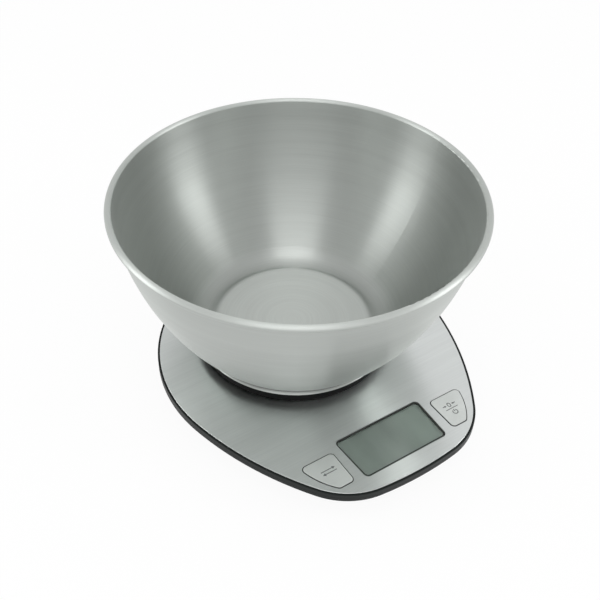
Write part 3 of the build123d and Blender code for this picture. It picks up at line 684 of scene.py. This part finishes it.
class DressDisplay(Operator):
    """Makes the display window clear and tints the liquid crystal panel behind it, with a painted
    reflection of diagonal streaks and a lighter +X side
    """

    bl_idname = "kitchen_scale.dress_display"
    bl_label = "Dress Display"

    def execute(self, context):
        plastic = context.scene.scale_plastic
        acrylic_ior = 1.49
        window, tree, shader = new_material("window_acrylic")
        shader.inputs["Base Color"].default_value = (*plastic.window_colour, 1)
        shader.inputs["Transmission Weight"].default_value = 1
        shader.inputs["IOR"].default_value = acrylic_ior
        shader.inputs["Roughness"].default_value = plastic.window_roughness
        shader.inputs["Specular IOR Level"].default_value = 1
        dress(window, "display_window")

        panel, tree, shader = new_material("lcd_glass")
        # Painted reflection on the panel: diagonal streaks, and a tone that lightens towards the
        # +X side
        streak_turn, streak_stretch = radians(-24), 0.22
        streak_scale, streak_strength = 55, 0.9
        darkest, lightest = 0.46, 0.92
        reflection_streak_place = add_node(tree, "ShaderNodeMapping")
        reflection_streak_place.inputs["Rotation"].default_value = (0, 0, streak_turn)
        reflection_streak_place.inputs["Scale"].default_value = (1, streak_stretch, 1)
        link(tree, place_on(tree), reflection_streak_place.inputs["Vector"])
        painted_reflection_streaks = noise(tree, reflection_streak_place.outputs[0], streak_scale, detail=3)
        low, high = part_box("lcd_panel")
        fade_start = (low[0] + high[0]) / 2 - 14 * MM
        sideways = axes(tree, reflection_streak_place.outputs[0])["X"]
        level = ramp(tree, sideways, fade_start, high[0], darkest, lightest)
        tone = maths(tree, "ADD", maths(tree, "MULTIPLY", painted_reflection_streaks, streak_strength), level)
        tint = scaled(tree, plastic.lcd_colour, tone)
        link(tree, tint, shader.inputs["Base Color"])
        shader.inputs["Roughness"].default_value = plastic.lcd_roughness
        dress(panel, "lcd_panel")
        return {"FINISHED"}


class DressWorks(Operator):
    """Finishes the pieces inside the housing"""

    bl_idname = "kitchen_scale.dress_works"
    bl_label = "Dress Works"

    def execute(self, context):
        mill_pitch = 0.4 * MM

        def lines(tree):
            return straight_coordinates(tree, mill_pitch)

        for name, tint, roughness, stretch, nodes in WORKS_METALS:
            dress(brushed_steel(name, tint, roughness, stretch, lines)[0], *nodes)
        for name, tint, roughness, nodes in WORKS_PLASTICS:
            dress(moulded_plastic(name, tint, roughness, pitch=900, relief=0.1)[0], *nodes)
        return {"FINISHED"}


# ---------------------------------------------------------------- load cell
class FlexLoadCell(Operator):
    """Cuts the load cell beam and its strain gauges into bands between the screwed end and the end
    that the platter presses, as new pieces in place of the hidden ones
    """

    bl_idname = "kitchen_scale.flex_load_cell"
    bl_label = "Flex Load Cell"

    def execute(self, context):
        spacer_low, spacer_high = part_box("load_spacer")
        gauge_low, gauge_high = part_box("strain_gauges")
        if spacer_low[0] > gauge_low[0]:
            start, end = gauge_low[0], spacer_low[0]
        else:
            start, end = gauge_high[0], spacer_high[0]
        for node in ("load_cell_beam", "strain_gauges"):
            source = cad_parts[node].data
            mesh = bmesh.new()
            mesh.from_mesh(source)
            for step in range(1, FLEX_STEPS):
                place = (start + (end - start) * step / FLEX_STEPS, 0, 0)
                everything = [*mesh.verts, *mesh.edges, *mesh.faces]
                bmesh.ops.bisect_plane(mesh, geom=everything, plane_co=place, plane_no=(1, 0, 0))
            bent = source.copy()
            mesh.to_mesh(bent)
            mesh.free()
            piece = bpy.data.objects.new(f"{node}_flexing", bent)
            context.collection.objects.link(piece)
            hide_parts(node)
            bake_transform(piece)
        return {"FINISHED"}


# ---------------------------------------------------------------- printed marks
def ribbon(mesh, points, width, height):
    """Adds a flat printed line of even width along a row of points."""
    rows = []
    for index, point in enumerate(points):
        before = Vector(points[max(index - 1, 0)])
        after = Vector(points[min(index + 1, len(points) - 1)])
        along = (after - before).normalized()
        across = Vector((-along.y, along.x)) * width / 2
        corners = (Vector(point) - across, Vector(point) + across)
        rows.append([mesh.verts.new((corner.x, corner.y, height)) for corner in corners])
    for near, far in zip(rows, rows[1:]):
        mesh.faces.new((near[0], far[0], far[1], near[1]))


def arc_points(centre, radius_x, radius_y, start, turn, steps=28):
    """Points along part of an ellipse; angles in degrees, anticlockwise from the right."""
    points = []
    for step in range(steps + 1):
        angle = radians(start + turn * step / steps)
        points.append((centre[0] + radius_x * cos(angle), centre[1] + radius_y * sin(angle)))
    return points


def arrow(mesh, tail, tip, head, width, height):
    """Adds a straight arrow with a filled head."""
    head_spread = 0.55
    tail = Vector(tail)
    tip = Vector(tip)
    along = (tip - tail).normalized()
    across = Vector((-along.y, along.x)) * head * head_spread
    neck = tip - along * head
    ribbon(mesh, [tail, neck], width, height)
    corners = (neck - across, tip, neck + across)
    mesh.faces.new([mesh.verts.new((corner.x, corner.y, height)) for corner in corners])


def printed_mark(name, draw, body, ink="mark_ink"):
    """One printed line or symbol; draw fills its mesh."""
    mesh = bmesh.new()
    draw(mesh)
    data = bpy.data.meshes.new(name)
    mesh.to_mesh(data)
    mesh.free()
    made = bpy.data.objects.new(name, data)
    bpy.context.collection.objects.link(made)
    data.materials.append(bpy.data.materials[ink])
    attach(made, body)


class PrintMarks(Operator):
    """Prints the window's border and plain signs on the buttons: swap, zero and power"""

    bl_idname = "kitchen_scale.print_marks"
    bl_label = "Print Marks"

    def execute(self, context):
        plastic = context.scene.scale_plastic
        speckle_scale = 1800
        ink, tree, shader = new_material("mark_ink")
        speckle = maths(tree, "ADD", noise(tree, place_on(tree), speckle_scale), 0.5)
        tint = scaled(tree, plastic.mark_colour, speckle)
        link(tree, tint, shader.inputs["Base Color"])
        shader.inputs["Roughness"].default_value = plastic.mark_roughness
        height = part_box("button_left")[1][2] + plastic.mark_lift
        line = plastic.mark_line
        left = centre_of("switch_plunger_left")
        right = centre_of("switch_plunger_right")

        def window_border(mesh):
            """The black line printed round the edge of the display window."""
            low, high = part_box("display_window")
            width = plastic.border_width
            side = width / 2 - 0.05 * MM  # the line's middle, in from the sides and back
            front = width / 2 + 0.3 * MM  # and in from the front
            bend = 2.6 * MM  # radius of its corners
            taper = 1.4 * MM  # how much further in its front corners are
            corners = (
                (high[0] - side - bend, high[1] - side - bend, 0),
                (low[0] + side + bend, high[1] - side - bend, 90),
                (low[0] + taper + side + bend, low[1] + front + bend, 180),
                (high[0] - taper - side - bend, low[1] + front + bend, 270),
            )
            points = []
            for x, y, start in corners:
                points += arc_points((x, y), bend, bend, start, 90, steps=10)
            ribbon(mesh, [*points, *points[:2]], width, high[2] + plastic.mark_lift)

        def swap_sign(mesh):
            """Two opposite arrows: changes the unit."""
            middle = left.y + 1.4 * MM
            half_gap = 1.05 * MM
            reach = 4.6 * MM
            head = 1.8 * MM
            for way in (1, -1):
                y = middle + way * half_gap
                tail, tip = (left.x - way * reach, y), (left.x + way * reach, y)
                arrow(mesh, tail, tip, head, line, height)

        def zero_sign(mesh):
            """A zero between two arrows that point at it: takes the weight to nought."""
            x, y = right.x, right.y + 3.2 * MM
            half_width, half_height = 0.95 * MM, 1.4 * MM
            far, near = 4.6 * MM, 1.9 * MM
            head = 1.3 * MM
            ribbon(mesh, arc_points((x, y), half_width, half_height, 0, 360), line, height)
            for way in (-1, 1):
                arrow(mesh, (x + way * far, y), (x + way * near, y), head, line, height)

        def divider(mesh):
            """The short line between the two signs."""
            y = right.y + 0.4 * MM
            reach = 4.4 * MM
            thin = line * 0.8
            ribbon(mesh, [(right.x - reach, y), (right.x + reach, y)], thin, height)

        def power_sign(mesh):
            """An open ring with a stroke in its gap."""
            x, y = right.x, right.y - 2.6 * MM
            radius = 1.5 * MM
            gap_end, round_turn = 125, 290
            foot, tip = 0.2 * MM, 1.9 * MM
            ring = arc_points((x, y), radius, radius, gap_end, round_turn)
            ribbon(mesh, ring, line, height)
            ribbon(mesh, [(x, y + foot), (x, y + tip)], line, height)

        printed_mark("window_border", window_border, "base", "black_abs")
        printed_mark("swap_sign", swap_sign, "button_left")
        printed_mark("zero_sign", zero_sign, "button_right")
        printed_mark("sign_divider", divider, "button_right")
        printed_mark("power_sign", power_sign, "button_right")
        return {"FINISHED"}


# ---------------------------------------------------------------- stage
def around(middle, bearing, climb, distance):
    """A point round the middle; bearing in degrees from the display side, turning right."""
    reach = distance * cos(radians(climb))
    turn = radians(bearing)
    return middle + Vector((reach * sin(turn), -reach * cos(turn), distance * sin(radians(climb))))


def area_lamp(name, aim, lamp, power):
    """A rectangular softbox that faces a point."""
    bearing, climb, distance, size = lamp
    data = bpy.data.lights.new(name, "AREA")
    data.shape = "RECTANGLE"
    data.size, data.size_y = size
    data.energy = power
    made = bpy.data.objects.new(name, data)
    bpy.context.collection.objects.link(made)
    made.location = around(aim, bearing, climb, distance)
    made.rotation_euler = (aim - made.location).to_track_quat("-Z", "Y").to_euler()


def mixed_shader(tree, factor, first, second):
    """A Mix Shader node that goes from the first to the second shader."""
    made = add_node(tree, "ShaderNodeMixShader")
    for socket, value in zip(made.inputs, (factor, first, second)):
        link(tree, value, socket)
    return made.outputs[0]


class BuildStage(Operator):
    """Lays the floor, hangs the softboxes and sets the camera"""

    bl_idname = "kitchen_scale.build_stage"
    bl_label = "Build Stage"

    def execute(self, context):
        stage = context.scene.scale_stage
        self.lay_floor(context, stage)
        self.light_room(context, stage)
        self.set_camera(context, stage)
        return {"FINISHED"}

    def lay_floor(self, context, stage):
        """Lays a pale floor that looks white, and that is clear from below."""
        bpy.ops.mesh.primitive_plane_add(size=FLOOR_SIZE, location=(0, 0, 0))
        floor = context.object
        floor.name = "floor"
        made, tree, shader = new_material("floor_white")
        shader.inputs["Base Color"].default_value = (*stage.floor_colour, 1)
        shader.inputs["Roughness"].default_value = stage.floor_roughness
        glow = add_node(tree, "ShaderNodeEmission")
        glow.inputs["Strength"].default_value = 1
        rays = add_node(tree, "ShaderNodeLightPath").outputs
        seen = maths(tree, "MAXIMUM", rays["Is Camera Ray"], rays["Is Glossy Ray"])
        seen = maths(tree, "MAXIMUM", seen, rays["Is Transmission Ray"])
        white_share = maths(tree, "MULTIPLY", seen, stage.floor_glow)
        pale = mixed_shader(tree, white_share, shader.outputs[0], glow.outputs[0])
        below = add_node(tree, "ShaderNodeNewGeometry").outputs["Backfacing"]
        clear = add_node(tree, "ShaderNodeBsdfTransparent").outputs[0]
        surface = mixed_shader(tree, below, pale, clear)
        link(tree, surface, tree.nodes["Material Output"].inputs["Surface"])
        floor.data.materials.append(made)

    def light_room(self, context, stage):
        """Makes the room white to the eye and hangs the softboxes."""
        world = bpy.data.worlds.new("studio")
        context.scene.world = world
        world.use_nodes = True
        tree = world.node_tree
        sky = tree.nodes["Background"]
        seen = add_node(tree, "ShaderNodeLightPath").outputs["Is Camera Ray"]
        white = 1
        sky.inputs["Color"].default_value = (1, 1, 1, 1)
        level = between(tree, "FLOAT", seen, stage.world_level, white)
        link(tree, level, sky.inputs["Strength"])

        middle = centre_of("bowl")
        area_lamp("top", middle, TOP_LAMP, stage.top_power)
        for lamp in SIDE_LAMPS:
            area_lamp("side", middle, lamp, stage.side_power)
        area_lamp("front", middle, FRONT_LAMP, stage.front_power)

    def set_camera(self, context, stage):
        """Puts the camera above and to the left of the display side."""
        low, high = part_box("bowl")
        rim = Vector(((low[0] + high[0]) / 2, (low[1] + high[1]) / 2, high[2]))
        rim_radius = (high[0] - low[0]) / 2
        data = bpy.data.cameras.new("camera")
        data.lens = stage.lens
        data.sensor_width = SENSOR_WIDTH
        data.shift_x, data.shift_y = CAMERA_SHIFT
        made = bpy.data.objects.new("camera", data)
        context.collection.objects.link(made)
        right = Vector(CAMERA_RIGHT).normalized()
        ahead = Vector(CAMERA_AHEAD).normalized()
        up = right.cross(ahead)
        turn = Matrix((right, up, -ahead)).transposed()
        place = Matrix.Translation(rim + Vector(CAMERA_PLACE) * rim_radius)
        made.matrix_world = place @ turn.to_4x4()
        context.scene.camera = made


class ScalePanel(Panel):
    """Lists the steps and the settings"""

    bl_idname = "VIEW3D_PT_kitchen_scale"
    bl_label = "Kitchen Scale"
    bl_space_type = "VIEW_3D"
    bl_region_type = "UI"
    bl_category = "Kitchen Scale"

    def draw(self, context):
        for step in STEPS:
            self.layout.operator(step.bl_idname)
        for name, kind in SETTINGS.items():
            box = self.layout.box()
            for setting in kind.__annotations__:
                box.prop(getattr(context.scene, name), setting)


STEPS = (
    DressBowl,
    DressCover,
    DressHousings,
    DressDisplay,
    DressWorks,
    FlexLoadCell,
    PrintMarks,
    BuildStage,
)
SETTINGS = {
    "scale_steel": SteelSettings,
    "scale_plastic": PlasticSettings,
    "scale_stage": StageSettings,
}


def register():
    for name, kind in SETTINGS.items():
        bpy.utils.register_class(kind)
        setattr(bpy.types.Scene, name, PointerProperty(type=kind))
    for kind in (*STEPS, ScalePanel):
        bpy.utils.register_class(kind)


def unregister():
    for kind in (ScalePanel, *reversed(STEPS)):
        bpy.utils.unregister_class(kind)
    for name, kind in SETTINGS.items():
        delattr(bpy.types.Scene, name)
        bpy.utils.unregister_class(kind)


def main():
    """Dresses the scale and builds the stage."""
    register()
    bpy.context.scene.view_settings.view_transform = "Standard"
    bpy.ops.kitchen_scale.dress_bowl()
    bpy.ops.kitchen_scale.dress_cover()
    bpy.ops.kitchen_scale.dress_housings()
    bpy.ops.kitchen_scale.dress_display()
    bpy.ops.kitchen_scale.dress_works()
    bpy.ops.kitchen_scale.flex_load_cell()
    bpy.ops.kitchen_scale.print_marks()
    bpy.ops.kitchen_scale.build_stage()


if __name__ == "__main__":
    main()
